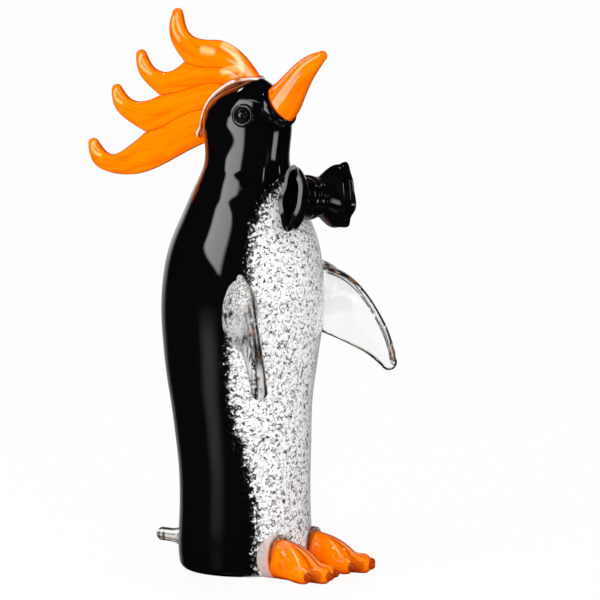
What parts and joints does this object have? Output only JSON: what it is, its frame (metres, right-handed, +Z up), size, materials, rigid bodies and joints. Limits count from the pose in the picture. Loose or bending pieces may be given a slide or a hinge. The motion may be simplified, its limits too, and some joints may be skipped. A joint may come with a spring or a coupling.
{
  "type": "penguin figurine",
  "caption": "Standing penguin ornament in solid art glass: flat ground base, swept crest, raised beak, bow tie, spread clear wings and splayed feet, made to stand on a shelf.",
  "frame": {"origin": "middle of the flat ground base, on the surface that it stands on", "axes": "+Z up along the standing bird, -Y the way that it faces, +X its left side"},
  "size_m": [0.1212, 0.1603, 0.2798],
  "materials": {
    "black_glass": "opaque black glass, fire polished to a mirror gloss",
    "crackle_white_glass": "white crackled layer with fine black cracks under clear gloss",
    "orange_glass": "dense orange glass, glossy, redder where it is thick or folded",
    "clear_glass": "clear colourless glass, fire polished"
  },
  "bodies": {
    "root": {"body": "black_glass", "beak_collar": "black_glass", "eye_disc_left": "black_glass", "eye_disc_right": "black_glass", "eye_bead_left": "black_glass", "eye_bead_right": "black_glass", "bow_knot": "black_glass", "bow_lobe_left": "black_glass", "bow_lobe_right": "black_glass", "belly_panel": "crackle_white_glass", "crest_feather_1": "orange_glass", "crest_feather_2": "orange_glass", "crest_feather_3": "orange_glass", "crest_feather_4": "orange_glass", "beak": "orange_glass", "foot_left": "orange_glass", "foot_right": "orange_glass", "crest_seat": "clear_glass", "wing_left": "clear_glass", "wing_right": "clear_glass", "foot_seat_left": "clear_glass", "foot_seat_right": "clear_glass", "tail": "clear_glass"}
  },
  "joints": []
}
